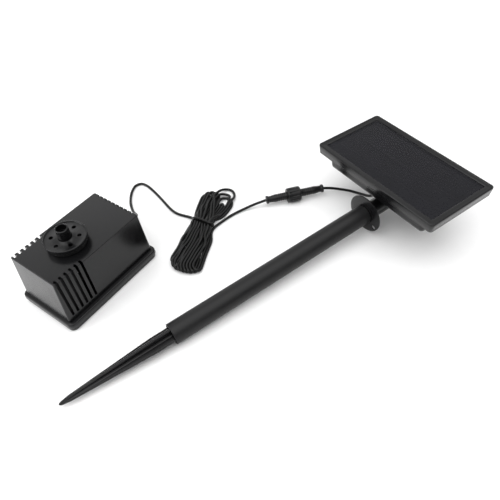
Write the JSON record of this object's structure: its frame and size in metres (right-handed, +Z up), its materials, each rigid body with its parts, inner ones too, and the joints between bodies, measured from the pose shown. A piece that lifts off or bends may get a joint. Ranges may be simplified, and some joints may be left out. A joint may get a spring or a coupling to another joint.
{
  "type": "solar fountain pump",
  "caption": "Submersible fountain pump in a slotted box, with a tilting solar panel on a ground stake and a hanked cord with a screw connector between them.",
  "frame": {"origin": "centre of the underside of the pump's base tray, on the surface that everything lies on", "axes": "+Z up; +X along the ground stake from its spike to its panel; +Y from the stake towards the pump"},
  "size_m": [0.4897, 0.3361, 0.0903],
  "materials": {
    "black_plastic": "fine satin moulded surface",
    "tube_plastic": "satin extruded tube",
    "cord_rubber": "smooth soft vinyl",
    "connector_plastic": "moulded over the cord",
    "seal_rubber": "soft",
    "panel_glass": "clear, slightly milky resin cover",
    "solar_cell": "dark silicon",
    "backsheet": "flat black laminate",
    "steel": "plated",
    "can_steel": "drawn stainless",
    "stator_steel": "laminated electrical steel",
    "copper_wire": "enamelled copper winding",
    "magnet": "bonded ferrite",
    "impeller_plastic": "moulded",
    "ceramic": "ground ceramic",
    "foam": "open-cell foam",
    "circuit_board": "solder resist",
    "battery_wrap": "shrink film",
    "contact_brass": "bright"
  },
  "bodies": {
    "stand": {"base_tray": "black_plastic", "volute_body": "black_plastic", "volute_cover": "black_plastic", "volute_screw_1": "steel", "volute_screw_2": "steel", "volute_screw_3": "steel", "motor_housing": "black_plastic", "rotor_can": "can_steel", "stator_core": "stator_steel", "stator_coil_1": "copper_wire", "stator_coil_2": "copper_wire", "stator_coil_3": "copper_wire", "stator_coil_4": "copper_wire", "stator_coil_5": "copper_wire", "stator_coil_6": "copper_wire", "front_bush": "ceramic", "rear_bush": "ceramic", "rear_bush_seat": "seal_rubber", "driver_board": "circuit_board", "motor_back_plate": "black_plastic", "pump_cord_gland": "cord_rubber", "foam_filter": "foam", "stake_spike": "black_plastic", "stake_tube": "tube_plastic", "stake_bracket": "black_plastic", "hinge_bolt": "steel", "hinge_nut": "steel", "socket_half": "connector_plastic", "plug_half": "connector_plastic", "connector_seal": "seal_rubber", "connector_pin_1": "contact_brass", "connector_pin_2": "contact_brass", "pump_lead": "cord_rubber", "hank_lead": "cord_rubber", "panel_lead": "cord_rubber", "cord_hank": "cord_rubber"},
    "pump_cover": {"pump_cover": "black_plastic", "outlet_ring": "black_plastic"},
    "outlet_nozzle": {"outlet_nozzle": "black_plastic"},
    "rotor": {"impeller": "impeller_plastic", "rotor_magnet": "magnet", "rotor_shaft": "ceramic"},
    "coupling_nut": {"coupling_nut": "black_plastic"},
    "solar_panel": {"panel_frame": "black_plastic", "panel_glass": "panel_glass", "solar_cell_1": "solar_cell", "solar_cell_2": "solar_cell", "cell_backsheet": "backsheet", "rear_box": "black_plastic", "box_screw_1": "steel", "box_screw_2": "steel", "box_screw_3": "steel", "box_screw_4": "steel", "control_board": "circuit_board", "battery_cell_1": "battery_wrap", "battery_cell_2": "battery_wrap", "panel_cord_gland": "cord_rubber"}
  },
  "joints": [
    {"name": "cover_lift", "type": "slide", "parent": "stand", "child": "pump_cover", "axis": [0, 0, 1], "range_m": [0, 0.085]},
    {"name": "nozzle_pull", "type": "slide", "parent": "stand", "child": "outlet_nozzle", "axis": [0, 0, 1], "range_m": [0, 0.025]},
    {"name": "rotor_spin", "type": "hinge", "parent": "stand", "child": "rotor", "pos_m": [0, 0, 0.036], "axis": [0.9426, 0.3338, 0], "continuous": true},
    {"name": "coupling_turn", "type": "hinge", "parent": "stand", "child": "coupling_nut", "pos_m": [0.2297, -0.0279, 0.0096], "axis": [0.9348, -0.3551, 0], "continuous": true},
    {"name": "panel_tilt", "type": "hinge", "parent": "stand", "child": "solar_panel", "pos_m": [0.349, -0.1325, 0.02627], "axis": [0, 1, 0], "range_deg": [0, 90]}
  ]
}
